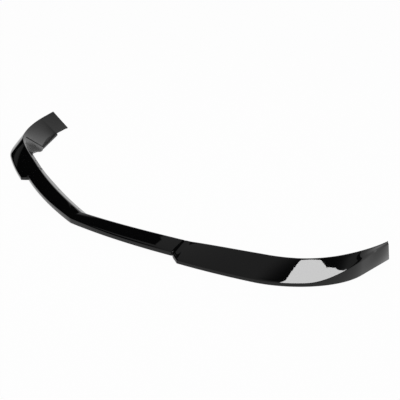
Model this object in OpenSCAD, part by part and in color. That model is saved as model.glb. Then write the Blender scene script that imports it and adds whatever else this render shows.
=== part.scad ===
// Front splitter lip in three moulded shells: a centre blade with a shallow V nose and two side
// blades that wrap round the bumper corners and rise into tall end walls.
// X is across the car, Y runs rearward, Z is up from the ground line. Lines are laid out from the nose
// and every node is then moved forward by half the depth, so the origin is the middle of the plan.

/* [Overall] */
// Half width of the lip at its lower edge
half_width = 897; // [880:1:920]
// Distance from the nose to the rear end of the lower edge
overall_depth = 577; // [560:1:640]
// Wall of every moulded shell
skin = 3; // [2.6:0.1:3.4]

/* [Centre blade] */
// Distance from the middle of the car to each seam
seam_x = 427; // [400:1:440]
// Rearward slope of the lower front edge beside the nose
nose_rake = 0.09; // [0.06:0.01:0.12]
// Extra sweep of the lower front edge for each mm squared
front_bow = 0.00028; // [0.0002:0.00001:0.00036]
// Radius that blunts the nose in plan
nose_round = 6; // [3:0.5:12]
// Lift of the lower edge at the seam over the nose
seam_lift = 7; // [0:0.5:9]
// Height of the front edge band at the nose
nose_band = 20; // [17:0.5:22]
// Height of the front edge band at the seam
seam_band = 15; // [13:0.5:17]
// Depth of the top face at the nose, from the band to the crest
nose_top_depth = 46; // [40:1:56]
// Depth of the top face at the seam
seam_top_depth = 51; // [46:1:60]
// Height of the crest at the nose
nose_crest_z = 28; // [26:0.5:34]
// Height of the crest at the seam
seam_crest_z = 46; // [42:0.5:50]
// Width of the rear flange in plan along the centre
flange_w = 25; // [22:0.5:30]
// Width of the rear flange in plan at the seam
seam_flange_w = 18; // [16:0.5:22]
// Fall of the rear flange for each mm of its width
flange_fall = 0.7; // [0.6:0.01:0.75]

/* [Side blades] */
// Run of the step that brings the side blade's edge forward, across the car
jog_run = 38; // [30:1:46]
// How far that step reaches forward
jog_reach = 12; // [6:0.5:18]
// Height of the side blade's front edge band
side_band = 13; // [11:0.5:15]
// Further height of the band where it grows into the corner wall
corner_rise = 40; // [32:1:42]
// Height of the crest where the corner starts
corner_crest_z = 66; // [62:1:70]
// Height of the crest where the corner ends
shoulder_z = 82; // [78:1:86]
// Height of the crest at the rear tip
tip_z = 93; // [90:1:100]
// How far the rear tip stands outboard of the lower edge
tip_out = 21; // [12:1:28]
// How far the rear tip stands ahead of the lower edge
tip_ahead = 58; // [40:1:70]
// Further width of the rear flange at the corner
gusset_w = 64; // [50:1:68]

/* [Inner panel and ledge] */
// Height of the upper side of the ledge along the foot of the inner panel
ledge_z = 8; // [7:0.5:9]
// Distance of the ledge's rear end from the rear end of the lower edge
notch_back = 92; // [84:1:110]
// Distance of the ledge's inner corner from the outer side
notch_w = 58; // [52:1:70]
// Distance of the inner panel's foot from the outer side at the ledge's rear end
panel_in = 50; // [44:1:54]
// Distance of the inner panel's foot from the outer side at the tail
tail_in = 10; // [8:0.5:14]

/* [Ribs] */
// Thickness of the stiffening ribs
rib_t = 2.5; // [2:0.1:3]
// Ribs on each half of the centre blade, beside the one at the nose
centre_ribs = 4; // [2:1:6]
// Ribs under the front run of each side blade
side_ribs = 4; // [2:1:5]
// Clearance of the ribs' lower edges over the blade's own lower edge
rib_lift = 3; // [1:0.5:5]

/* [Joint] */
// How far the joint tab reaches beyond the seam
tab_reach = 40; // [36:1:44]
// Length of the tab's root inside the centre blade
tab_root = 44; // [36:1:56]
// Height of the tab's lower side
tab_z = 14; // [13:0.5:15]
// Distance of the joint screws from the seam
screw_inset = 20; // [16:0.5:24]
// Diameter of the joint screws
screw_d = 4.8; // [4:0.1:5]
// Length of the joint screws under the head
screw_len = 11; // [9:0.5:12]
// Diameter of the screw heads
screw_head_d = 9.6; // [8:0.1:10.5]
// Height of the screw heads
screw_head_h = 2.6; // [2:0.1:3]
// Outer diameter of the bosses that the screws bite into
boss_d = 11; // [10:0.5:12]
// Clearance round a screw and between the faces that meet at the joint
fit_gap = 0.2; // [0.15:0.05:0.3]

/* [Mounting holes] */
// Diameter of the holes in the rear flange
flange_hole_d = 6.5; // [5:0.1:7]
// Diameter of the holes in the gussets and ledges
ledge_hole_d = 8; // [6:0.1:9]

/* [Hidden] */
shell_colour = [0.03, 0.03, 0.033];
screw_colour = [0.45, 0.46, 0.48];
$fn = 48;

centre_steps = 24;
step_steps = 3;
run_steps = 12;
corner_steps = 24;
wall_steps = 12;
band_round = 2.5;
crest_round = 3.5;
crown = 1.2;
round_steps = 2;
// Centre blade: where the nose band has blended out, how the crest climbs, where the flange narrows
band_blend_x = 250;
crest_power = 1.7;
flange_narrow_from = 0.6;
// Headings of the side blade's lines in plan, in degrees from the X axis
run_heading = 16.5;
corner_heading = 24;
shoulder_heading = 65;
tip_heading = 78;
// Lower edge: corner start inboard of the half width and behind the run's start, length of the end wall
corner_in = 192;
run_back = 89;
wall_len = 147;
// Lengths of the curve handles along the lower edge and the crest
foot_pull = 80;
corner_pull = 100;
corner_end_pull = 115;
crest_pull = 76;
bend_pull = 110;
wall_pull = 29;
// Crest against the lower edge: after the step, at the corner's start and at its end
crest_inset = 26;
crest_corner_in = 24;
crest_corner_back = 57;
crest_shoulder_in = 10;
crest_shoulder_ahead = 4;
// Climb of the crest along its curve handles
step_climb = 1;
run_climb = 9;
corner_climb = 2;
bend_climb = 12;
wall_climb = 2.5;
tip_climb = 5;
// Stages of the side blade where the band rises, the flange widens and the gusset ends
band_rise_t = 1.45;
band_rise_span = 0.56;
band_tail_power = 1.5;
gusset_start_t = 0.5;
gusset_span = 0.7;
gusset_end_t = 1.33;
cut_gap_t = 0.002;
// Height between the crease and the tip, how far the crease stands out there, and extra narrowing of the
// flange after the seam
tip_lip = 13;
tail_crease_out = 3;
step_flange_cut = 2;
// Stages of the ribs, the mounting holes and the inner panel, and the headings of the panel's foot
first_rib_t = 0.12;
rib_span_t = 0.96;
panel_rib_stages = [1.66, 2.05];
run_hole_t = 0.24;
gusset_hole_t = 1.14;
notch_t = 2.1;
ledge_steps = 16;
panel_start_share = 0.12;
panel_heading = 41;
panel_tail_heading = 95;
panel_pull = 43;
panel_corner_pull = 45;
// Depth of the inner panel's foot in the ledge, and how far the ledge runs on under it, in walls
panel_sink = 1.3;
ledge_under = 1.4;
// Filling of the wedge at the tail: walls at its base, highest share of the height, inner face's share
wedge_walls = 2.3;
wedge_limit = 0.9;
wedge_face = 0.85;
// Shares of the flange, the gusset and the ledge at which the mounting holes stand
flange_hole_share = 0.55;
gusset_hole_share = 0.6;
ledge_hole_shares = [0.35, 0.8];
ledge_hole_in = 11;
// Share of the centre half that carries ribs
rib_zone = 0.8;
// Screw places between the crease and the crest, and how deep the screws' holes run past the tips
screw_shares = [0.5, 0.86];
blind_depth = 1.5;
// Screw head and its socket, as shares of the head's diameter and height
head_foot = 0.8;
socket_width = 0.45;
socket_depth = 0.6;
// Tab behind the rear screw, as a share of the boss
tab_margin = 0.8;
// Stages under which the bosses end in the wall
boss_stages = 5;
boss_span_t = 0.24;
// The screw heads stay this far off the tab, and the rims this far under the ledges' upper side
seat_gap = 0.05;
// Lengths that only have to reach through a wall, and the least height of a rib's rear edge
over = 1;
tall = 40;
rib_end = 0.5;
// Half the stage between two points that give a line's heading
aim_t = 0.01;

// Smooth step from 0 to 1
function ease(u) = let(c = min(1, max(0, u))) c * c * (3 - 2 * c);
function unit(v) = v / norm(v);
function mix(a, b, k) = a + (b - a) * k;
function bezier(p, t) =
    pow(1 - t, 3) * p[0] + 3 * t * pow(1 - t, 2) * p[1] + 3 * t * t * (1 - t) * p[2] + pow(t, 3) * p[3];
function heading(a) = [cos(a), sin(a), 0];

// Centre blade: every line of the section as a function of x
function blunt(x) = sqrt(x * x + nose_round * nose_round) - nose_round;
function foot_y(x) = nose_rake * blunt(x) + front_bow * x * x;
function side_share(x) = min(1, abs(x) / seam_x);
function foot_z(x) = seam_lift * (1 - pow(1 - side_share(x), 2));
function band_h(x) = mix(nose_band, seam_band, ease(abs(x) / band_blend_x));
function crest_y(x) = foot_y(x) + mix(nose_top_depth, seam_top_depth, side_share(x));
function crest_z(x) = seam_crest_z - (seam_crest_z - nose_crest_z) * pow(1 - side_share(x), crest_power);
function centre_flange(x) =
    mix(flange_w, seam_flange_w, ease((side_share(x) - flange_narrow_from) / (1 - flange_narrow_from)));
function centre_lines(x) =
    let(
        foot = [x, foot_y(x), foot_z(x)],
        crest = [x, crest_y(x), crest_z(x)],
        w = centre_flange(x)
    )
    [foot, foot + [0, 0, band_h(x)], crest, crest + [0, w, -flange_fall * w]];

// Right side blade: stages -1 to 0 step, 0 to 1 front run, 1 to 2 corner, 2 to 3 end wall
seam_foot = [seam_x, foot_y(seam_x), seam_lift];
seam_crest = [seam_x, crest_y(seam_x), seam_crest_z];
run_start = seam_foot + [jog_run, -jog_reach, -seam_lift];
corner_start = [half_width - corner_in, run_start[1] + run_back, 0];
corner_end = [half_width, overall_depth - wall_len, 0];
tail_foot = [half_width, overall_depth, 0];
foot_run = [
    run_start,
    run_start + foot_pull * heading(run_heading),
    corner_start - foot_pull * heading(corner_heading),
    corner_start
];
foot_corner = [
    corner_start,
    corner_start + corner_pull * heading(corner_heading),
    corner_end - [0, corner_end_pull, 0],
    corner_end
];
crest_run_start = seam_crest + crest_inset * heading(run_heading) + [0, 0, step_climb];
crest_corner = corner_start + [-crest_corner_in, crest_corner_back, corner_crest_z];
crest_shoulder = corner_end + [-crest_shoulder_in, -crest_shoulder_ahead, shoulder_z];
tail_tip = tail_foot + [tip_out, -tip_ahead, tip_z];
crest_run = [
    crest_run_start,
    crest_run_start + crest_pull * heading(run_heading) + [0, 0, run_climb],
    crest_corner - crest_pull * heading(corner_heading) - [0, 0, corner_climb],
    crest_corner
];
crest_bend = [
    crest_corner,
    crest_corner + bend_pull * heading(corner_heading),
    crest_shoulder - bend_pull * heading(shoulder_heading) - [0, 0, bend_climb],
    crest_shoulder
];
crest_wall = [
    crest_shoulder,
    crest_shoulder + wall_pull * heading(shoulder_heading) + [0, 0, wall_climb],
    tail_tip - wall_pull * heading(tip_heading) - [0, 0, tip_climb],
    tail_tip
];

function side_foot(t) =
    t < 0 ? mix(seam_foot, run_start, 1 + t)
    : t < 1 ? bezier(foot_run, t)
    : t < 2 ? bezier(foot_corner, t - 1)
    : mix(corner_end, tail_foot, t - 2);
function side_crest(t) =
    t < 0 ? mix(seam_crest, crest_run_start, 1 + t)
    : t < 1 ? bezier(crest_run, t)
    : t < 2 ? bezier(crest_bend, t - 1)
    : bezier(crest_wall, t - 2);
function side_band_h(t) =
    mix(seam_band, side_band, ease(t + 1))
    + corner_rise * ease((t - band_rise_t) / band_rise_span)
    + (tip_z - tip_lip - side_band - corner_rise) * pow(max(0, t - 2), band_tail_power);
function side_crease(t) =
    let(
        foot = side_foot(t),
        crest = side_crest(t),
        h = side_band_h(t),
        lean = ease(t - 2) * h / crest[2]
    )
    [mix(foot[0], crest[0], lean), mix(foot[1], crest[1], lean), foot[2] + h]
    - tail_crease_out * ease(t - 2) * inward(t);
function inward(t) =
    let(d = side_crest(min(3, t + aim_t)) - side_crest(max(-1, t - aim_t)))
    unit([-d[1], d[0], 0]);
function side_flange_edge(t) =
    let(
        w = seam_flange_w + gusset_w * ease((t - gusset_start_t) / gusset_span) - step_flange_cut * ease(t + 1),
        inner = t < 0 ? unit(mix([0, 1, 0], inward(t), t + 1)) : inward(t)
    )
    side_crest(t) + w * inner - [0, 0, flange_fall * w];

// Foot of the inner panel, which runs behind the gusset's fold from its low corner to the tail
gusset_corner = side_flange_edge(gusset_end_t);
panel_top = side_crest(gusset_end_t);
panel_start = [
    mix(gusset_corner[0], panel_top[0], panel_start_share),
    mix(gusset_corner[1], panel_top[1], panel_start_share),
    ledge_z - panel_sink
];
panel_corner = [half_width - panel_in, overall_depth - notch_back, ledge_z - panel_sink];
panel_tail = [half_width - tail_in, overall_depth - skin, ledge_z - panel_sink];
panel_curve = [
    panel_start,
    panel_start + panel_pull * heading(panel_heading),
    panel_corner - panel_corner_pull * heading(panel_tail_heading),
    panel_corner
];
function panel_foot(t) =
    t < notch_t ? bezier(panel_curve, (t - gusset_end_t) / (notch_t - gusset_end_t))
    : mix(panel_corner, panel_tail, (t - notch_t) / (3 - notch_t));
function side_lines(t) =
    [side_foot(t), side_crease(t), side_crest(t), t > gusset_end_t ? panel_foot(t) : side_flange_edge(t)];

// Arc-like blend of a corner, from a point on the way in to a point on the way out
function blend(a, v, b, r) =
    let(
        p = v + unit(a - v) * min(r, norm(a - v) * 0.4),
        q = v + unit(b - v) * min(r, norm(b - v) * 0.4)
    )
    [for (i = [0:round_steps]) let(k = i / round_steps) mix(mix(p, v, k), mix(v, q, k), k)];

// Outward normals of the band, the top face and the flange
function face_normals(l, along) = [for (i = [0:2]) unit(cross(along, l[i + 1] - l[i]))];
// The four lines moved into the wall by a depth, mitred where faces meet
function sunk(l, along, depth) =
    let(
        n = face_normals(l, along),
        side = [n[0], (n[0] + n[1]) / (1 + n[0] * n[1]), (n[1] + n[2]) / (1 + n[1] * n[2]), n[2]]
    )
    [for (i = [0:3]) l[i] - depth * side[i]];

// Lines of the inside; where the end wall and the inner panel close to a narrow wedge, it fills up
function hollow(l, along) =
    let(
        inside = sunk(l, along, skin),
        base = norm([l[0][0] - l[3][0], l[0][1] - l[3][1]]),
        roof = mix(l[2], (l[0] + l[3]) / 2, min(wedge_limit, wedge_walls * skin / base))
    )
    inside[2][2] - inside[1][2] > 2 * skin ? inside
    : [inside[0], mix(inside[0], roof, wedge_face), roof, inside[3]];

// Closed section of the shell: the outside from foot to flange, then the inside back again
function shell_section(l, along, inside) =
    let(crown_point = (l[1] + l[2]) / 2 + crown * face_normals(l, along)[1])
    concat(
        [l[0]],
        blend(l[0], l[1], l[2], band_round),
        [crown_point],
        blend(l[1], l[2], l[3], crest_round),
        [l[3]],
        [for (i = [3:-1:0]) inside[i]]
    );

// Triangles that close one end of the shell, from its outside points to its inside ones
crease_in = 1;
crease_out = crease_in + round_steps;
crest_in = crease_out + 2;
crest_out = crest_in + round_steps;
flange_edge = crest_out + 1;
shell_end = concat(
    [[0, crease_in, flange_edge + 3], [0, flange_edge + 3, flange_edge + 4]],
    [for (i = [crease_in:crest_in - 2]) [i, i + 1, flange_edge + 3]],
    [[crest_in - 1, flange_edge + 2, flange_edge + 3]],
    [for (i = [crest_in - 1:crest_out - 1]) [i, i + 1, flange_edge + 2]],
    [[crest_out, flange_edge, flange_edge + 1], [crest_out, flange_edge + 1, flange_edge + 2]]
);
function fan(count) = [for (i = [1:count - 2]) [0, i, i + 1]];

// Solid through a row of closed sections; end_faces are the triangles of the last section
module loft(sections, end_faces) {
    count = len(sections[0]);
    last = len(sections) - 1;
    points = [for (s = sections) each s];
    sides = [
        for (i = [0:last - 1], j = [0:count - 1])
            let(a = i * count + j, b = i * count + (j + 1) % count)
            each [[a, b, b + count], [a, b + count, a + count]]
    ];
    first_end = [for (f = end_faces) [f[2], f[1], f[0]]];
    last_end = [for (f = end_faces) [for (v = f) v + last * count]];
    polyhedron(points = points, faces = concat(sides, first_end, last_end), convexity = 10);
}

function centre_along(x) =
    unit([1, (foot_y(x + 1) - foot_y(x - 1)) / 2, 0]);
function side_along(t) =
    unit(side_foot(min(3, t + aim_t)) + side_crest(min(3, t + aim_t))
        - side_foot(max(-1, t - aim_t)) - side_crest(max(-1, t - aim_t)));

side_stages = concat(
    [for (i = [0:step_steps - 1]) -1 + i / step_steps],
    [for (i = [0:run_steps - 1]) i / run_steps],
    [for (i = [0:corner_steps - 1]) if (i / corner_steps < gusset_end_t - 1) 1 + i / corner_steps],
    [gusset_end_t, gusset_end_t + cut_gap_t],
    [for (i = [0:corner_steps - 1]) if (i / corner_steps > gusset_end_t - 1) 1 + i / corner_steps],
    [for (i = [0:wall_steps]) 2 + i / wall_steps]
);

// Moves children from the layout at the nose to the middle of the plan
module placed() {
    translate([0, -overall_depth / 2, 0])
    children();
}

module centre_skin() {
    half = seam_x - fit_gap / 2;
    loft([
        for (i = [-centre_steps:centre_steps])
            let(
                x = half * i / centre_steps,
                l = centre_lines(x),
                along = abs(i) < centre_steps ? centre_along(x) : [1, 0, 0]
            )
            shell_section(l, along, sunk(l, along, skin))
    ], shell_end);
}

module side_skin() {
    translate([fit_gap / 2, 0, 0])
    loft([
        for (t = side_stages)
            let(l = side_lines(t), along = t > -1 ? side_along(t) : [1, 0, 0])
            shell_section(l, along, t > gusset_end_t ? hollow(l, along) : sunk(l, along, skin))
    ], shell_end);
}

// Web under the shell: its upper edges end inside the wall, its lower edge is given
module rib(l, along, low_front, low_back) {
    edge = sunk(l, along, skin / 2);
    outline = [
        [edge[0][0], edge[0][1], low_front],
        edge[1],
        edge[2],
        edge[3],
        [edge[3][0], edge[3][1], min(low_back, edge[3][2] - rib_end)]
    ];
    shift = along * rib_t / 2;
    loft([[for (p = outline) p - shift], [for (p = outline) p + shift]], fan(5));
}

module centre_rib(x) {
    rib(centre_lines(x), centre_along(x), foot_z(x) + rib_lift, crest_z(x));
}

// Stands children along an axis at a point
module stand(p, axis) {
    translate(p)
    rotate([0, acos(axis[2]), atan2(axis[1], axis[0])])
    children();
}

// Through hole square to the rear flange, part way down its width
module flange_hole(l, along, share, d) {
    stand(mix(l[2], l[3], share), face_normals(l, along)[2])
    cylinder(d = d, h = 6 * skin, center = true);
}

// Joint: a tab of the centre blade reaches under the side blade and is screwed to its bosses
screw_t = screw_inset / jog_run - 1;
tab_top = tab_z + skin;
boss_z = tab_top + fit_gap;
function screw_place(k) =
    let(p = mix(side_crease(screw_t), side_crest(screw_t), k))
    [seam_x + screw_inset, p[1], 0];
screw_places = [for (k = screw_shares) screw_place(k)];
tab_front = screw_places[0][1] - boss_d;
tab_back = screw_places[1][1] + tab_margin * boss_d;

module joint_tab() {
    root_x = seam_x - tab_root;
    inner_x = seam_x - 2 * fit_gap;
    difference() {
        translate([0, 0, tab_z])
        linear_extrude(skin)
        polygon([
            [root_x, foot_y(root_x) + skin / 2],
            [inner_x, foot_y(inner_x) + skin / 2],
            [inner_x, tab_front],
            [seam_x + tab_reach, tab_front],
            [seam_x + tab_reach, tab_back],
            [root_x, tab_back]
        ]);
        for (p = screw_places)
            translate([p[0], p[1], tab_z - over])
            cylinder(d = screw_d + 2 * fit_gap, h = skin + 2 * over);
    }
    for (x = [root_x + rib_t, seam_x - 3 * rib_t])
        rib(centre_lines(x), centre_along(x), tab_z + skin / 2, tab_z + skin / 2);
}

module centre_mirrored() {
    children();
    mirror([1, 0, 0]) children();
}

rib_pitch = rib_zone * seam_x / centre_ribs;

module centre_lip() {
    color(shell_colour)
    placed()
    difference() {
        union() {
            centre_skin();
            for (i = [-centre_ribs:centre_ribs])
                centre_rib(i * rib_pitch);
            centre_mirrored() joint_tab();
        }
        for (side = [-1, 1], bay = [0:2:centre_ribs - 1])
            let(x = side * (bay + 0.5) * rib_pitch)
            flange_hole(centre_lines(x), centre_along(x), flange_hole_share, flange_hole_d);
    }
}

// Ledge along the foot of the inner panel, with a rim down to the ground along its inner edge
ledge_corner = [half_width - notch_w, overall_depth - notch_back];
ledge_edge = [[gusset_corner[0], gusset_corner[1]], ledge_corner];
function turned(v) = [v[1], -v[0]];
ledge_out = turned(unit(ledge_edge[1] - ledge_edge[0]));

module ledge() {
    foot_line = [
        for (i = [0:ledge_steps])
            let(p = panel_foot(mix(gusset_end_t, notch_t, i / ledge_steps)))
            [p[0], p[1]] + ledge_under * skin * ledge_out
    ];
    translate([0, 0, ledge_z - skin])
    linear_extrude(skin)
    polygon(concat(foot_line, [ledge_edge[1], ledge_edge[0]]));
    linear_extrude(ledge_z - seat_gap)
    polygon([
        ledge_edge[0],
        ledge_edge[1],
        ledge_edge[1] + skin * ledge_out,
        ledge_edge[0] + skin * ledge_out
    ]);
}

ledge_holes = [for (k = ledge_hole_shares) mix(ledge_edge[0], ledge_edge[1], k) + ledge_hole_in * ledge_out];

module joint_boss(p) {
    translate([p[0], p[1], boss_z])
    cylinder(d = boss_d, h = tall);
}

// Volume that lies under the middle of the wall near the seam
module under_wall() {
    stages = [for (i = [0:boss_stages]) -1 + i * boss_span_t];
    loft([
        for (t = stages)
            let(edge = sunk(side_lines(t), side_along(t), skin / 2))
            [[edge[0][0], edge[0][1], 0], edge[1], edge[2], edge[3], [edge[3][0], edge[3][1], 0]]
    ], fan(5));
}

module right_side_lip() {
    color(shell_colour)
    placed()
    difference() {
        union() {
            side_skin();
            for (i = [0:side_ribs - 1])
                let(t = first_rib_t + i * rib_span_t / side_ribs, l = side_lines(t))
                rib(l, side_along(t), rib_lift, l[3][2]);
            for (t = concat(gusset_end_t - aim_t, panel_rib_stages))
                rib(side_lines(t), side_along(t), rib_lift, rib_lift);
            ledge();
            intersection() {
                union() for (p = screw_places) joint_boss(p);
                under_wall();
            }
        }
        for (p = screw_places)
            translate([p[0], p[1], boss_z - over])
            cylinder(d = screw_d + 2 * fit_gap, h = screw_len - skin + blind_depth);
        for (p = ledge_holes)
            translate([p[0], p[1], ledge_z - 2 * skin])
            cylinder(d = ledge_hole_d, h = 4 * skin);
        flange_hole(side_lines(run_hole_t), side_along(run_hole_t), flange_hole_share, flange_hole_d);
        flange_hole(side_lines(gusset_hole_t), side_along(gusset_hole_t), gusset_hole_share, ledge_hole_d);
    }
}

module left_side_lip() {
    mirror([1, 0, 0])
    right_side_lip();
}

module joint_screw() {
    difference() {
        union() {
            cylinder(d = screw_d, h = screw_len);
            translate([0, 0, -screw_head_h])
            cylinder(d1 = head_foot * screw_head_d, d2 = screw_head_d, h = screw_head_h);
        }
        translate([0, 0, -screw_head_h - over])
        cylinder(d = socket_width * screw_head_d, h = over + socket_depth * screw_head_h, $fn = 6);
    }
}

module joint_screws() {
    color(screw_colour)
    placed()
    centre_mirrored()
    for (p = screw_places)
        translate([p[0], p[1], tab_z - seat_gap])
        joint_screw();
}

centre_lip();
left_side_lip();
right_side_lip();
joint_screws();
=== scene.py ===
import math

import bmesh
import bpy
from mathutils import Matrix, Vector


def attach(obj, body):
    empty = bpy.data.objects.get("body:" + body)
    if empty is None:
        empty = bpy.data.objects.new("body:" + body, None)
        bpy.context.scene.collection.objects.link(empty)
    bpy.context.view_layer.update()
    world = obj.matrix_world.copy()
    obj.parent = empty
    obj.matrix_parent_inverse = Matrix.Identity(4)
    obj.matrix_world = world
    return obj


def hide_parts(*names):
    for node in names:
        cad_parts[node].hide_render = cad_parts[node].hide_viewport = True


bl_info = {
    "name": "Front Splitter Lip",
    "version": (1, 0, 0),
    "blender": (4, 5, 0),
    "location": "View3D > Sidebar > Splitter Lip",
    "description": "Gloss black front splitter lip of a centre blade and two side blades",
    "category": "Object",
}

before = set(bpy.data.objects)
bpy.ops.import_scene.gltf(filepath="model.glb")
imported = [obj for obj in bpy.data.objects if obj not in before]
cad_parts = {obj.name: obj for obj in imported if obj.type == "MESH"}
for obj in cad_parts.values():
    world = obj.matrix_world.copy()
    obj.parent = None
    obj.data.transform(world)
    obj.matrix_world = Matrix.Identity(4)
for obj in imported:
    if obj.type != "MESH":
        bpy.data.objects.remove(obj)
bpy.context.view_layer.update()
MM = 0.001
ROOT = "root"
SIDES = (("right", False), ("left", True))
ACROSS = Vector((1.0, 0.0, 0.0))

# Material slots of a shell: gloss paint, bare moulding, satin paint, and a dull black without reflection
# that paints the shade in the groove at the fold
GLOSS, BARE, SATIN, PAINTED_SHADE = range(4)

# Rounding of a section in mm: every edge, the inner corners, the crease, the crest
EDGE_ROUND = 0.9
INNER_ROUND = 1.2
BAND_ROUND = 9.0
CREST_ROUND = 3.5
# Largest shares of an edge and of the band for a rounding, and its share that lies on the band
ROUND_SHARE = 0.4
BAND_ROUND_SHARE = 0.7
BAND_SHARE = 0.4
# Bulge of the top face in mm, and the width from which it is full
CROWN = 1.2
CROWN_FULL = 20.0
# Depth in mm of the hollow above the end wall's crease, and the stages over which it comes
SAG = 1.7
SAG_START = 1.7
SAG_SPAN = 0.4
# Factors that bring the curves of the bulge and the hollow to a height of one
CROWN_PEAK = 4.0
SAG_PEAK = 6.75
# Depth and run in mm of the roll of the painted side toward a seam, its power, and the sections in it
CENTRE_ROLL = (0.2, 0.6)
SIDE_ROLL = (2.8, 12.0)
ROLL_POWER = 1.2
SEAM_STEPS = (0.0, 0.6, 1.5, 3.5, 6.0, 8.5, 10.3, 11.4, 12.0)
# Depth in mm of the groove before the fold, height of the panel past it, and the stages of both
FOLD_STEP = 0.9
PANEL_STEP = 2.4
FOLD_RUN = 0.045
PANEL_RUN = 0.6
# The groove's front wall lies between these shares of its run, and it is full from a third of the flange on
GROOVE_WALL = (0.98, 1.02)
GROOVE_GROWS = 3.0
# Stage from which the inner face is satin
SATIN_START = 0.64
# Wedge at the tail: height in walls under which it fills up, walls at its base, and shares of its height
WEDGE_LIMIT = 2.0
WEDGE_WALLS = 2.3
WEDGE_HEIGHT = 0.9
WEDGE_FACE = 0.85

# Points along the parts of a section
TOP_STEPS = 12
ROUND_STEPS = 8
EDGE_STEPS = 3
FLANGE_STEPS = 10
INNER_STEPS = 4
# Sections of half a centre blade, with the share of even spacing, and of a side blade's five parts
CENTRE_STEPS = 90
CENTRE_EVEN = 0.25
SIDE_STEPS = (10, 48, 28, 56, 36)
LEDGE_STEPS = 40
HOLE_SIDES = 48
BOSS_SIDES = 32

# Angles in degrees from which an edge is sharp on shells and webs
SHELL_SHARP = 28.0
WEB_SHARP = 35.0
# Chamfer of the bosses in mm
BOSS_CHAMFER = 0.4

# Ribs: pitch on the centre blade in halves, ribs on each half, stages on the side blades, rear edge in mm
# under the flange
RIB_PITCH = 0.2
CENTRE_RIBS = 4
RIB_STAGES = [0.12 + 0.24 * i for i in range(4)]
PANEL_RIB_STAGES = (1.66, 2.05)
RIB_END = 0.5
# Holes: rib bays of the centre flange, stages on the side flange, shares of the width
HOLE_BAYS = (0.5, 2.5)
RUN_HOLE_STAGE = 0.24
GUSSET_HOLE_STAGE = 1.14
FLANGE_HOLE_SHARE = 0.55
GUSSET_HOLE_SHARE = 0.6
LEDGE_HOLE_SHARES = (0.35, 0.8)
LEDGE_HOLE_IN = 11.0
# Length of a cutting shaft, in walls
FLANGE_CUT, TAB_CUT, LEDGE_CUT = 6.0, 3.0, 4.0
# Joint: screw places from crease to crest, screw length and spare depth of its hole in mm, tab behind the
# rear screw in bosses, tab's root to the seam in fits, rib to the seam in ribs
SCREW_SHARES = (0.5, 0.86)
SCREW_LENGTH = 11.0
BLIND_SPARE = 0.5
TAB_MARGIN = 0.8
TAB_FITS = 2.0
SEAM_RIB = 3.0
# Ledge: how far it runs on under the panel in walls, and the rim's distance under its upper side in mm
LEDGE_UNDER = 1.4
RIM_GAP = 0.05

# Camera: lens and sensor in mm, place in mm, angle down and angle round in degrees
LENS = 63.0
SENSOR = 36.0
CAMERA_PLACE = Vector((1892.2, -1162.3 - 288.5, 1048.8))
CAMERA_DOWN = 23.86
CAMERA_ROUND = 46.84
CLIP = (0.05, 50.0)
# Zones of the studio: azimuth, elevation, inner and outer angle in degrees, value inside and outside
WALL_ZONE = (98.0, 18.0, 42.0, 54.0, 0.93, 0.0)
DARK_ZONES = (
    (-174.0, 23.0, 26.0, 29.0, 0.0, 1.0),
    (-37.0, 48.0, 10.0, 36.0, 0.06, 1.0),
    (-134.0, 27.0, 19.0, 24.0, 0.0, 1.0),
    (24.0, 3.0, 13.0, 16.0, 0.05, 1.0),
)
GLOW_ZONE = (176.5, 11.0, 2.2, 4.2, 0.085, 0.0)
ROOM_LEVEL = 0.48
# Overhead lamp: azimuth and elevation, distance and side in m, watts
LAMP_WAY = (-60.0, 86.0)
LAMP_DISTANCE = 3.0
LAMP_SIDE = 1.6
LAMP_WATTS = 22.0
# Softbox: aim, azimuth and elevation, distance, outline in its own plane in m, strength
SOFTBOX_AIM = Vector((0.83, 0.0, 0.04))
SOFTBOX_WAY = (-28.0, 42.0)
SOFTBOX_DISTANCE = 2.2
SOFTBOX_OUTLINE = (
    (-0.44, 1.05), (0.0, 0.50), (0.09, 0.20), (0.36, 0.08), (0.75, -0.34), (1.1, -0.80),
    (1.55, -1.0), (1.55, -1.5), (-1.35, -1.4), (-0.565, 0.58),
)
SOFTBOX_STRENGTH = 24.0
# Black card: outline in plan and height in m
CARD_OUTLINE = ((-0.36, 0.40), (-0.29, -0.12), (-0.23, -0.20), (-0.17, -0.45), (-1.30, -0.60), (-1.30, 0.40))
CARD_HEIGHT = 1.0
# Floor: half size and height in m, and share of white where the camera or a reflection sees it
FLOOR_SIZE = 9.0
FLOOR_Z = -0.0006
FLOOR_WHITE = 0.97


def length(label, text, millimetres):
    return bpy.props.FloatProperty(
        name=label, description=text, default=millimetres * MM, min=0.0, unit="LENGTH", precision=4
    )


def number(label, text, value):
    return bpy.props.FloatProperty(name=label, description=text, default=value, precision=5)


def colour(label, text, value):
    return bpy.props.FloatVectorProperty(
        name=label, description=text, default=value, subtype="COLOR", size=3, min=0.0, max=1.0
    )


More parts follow.
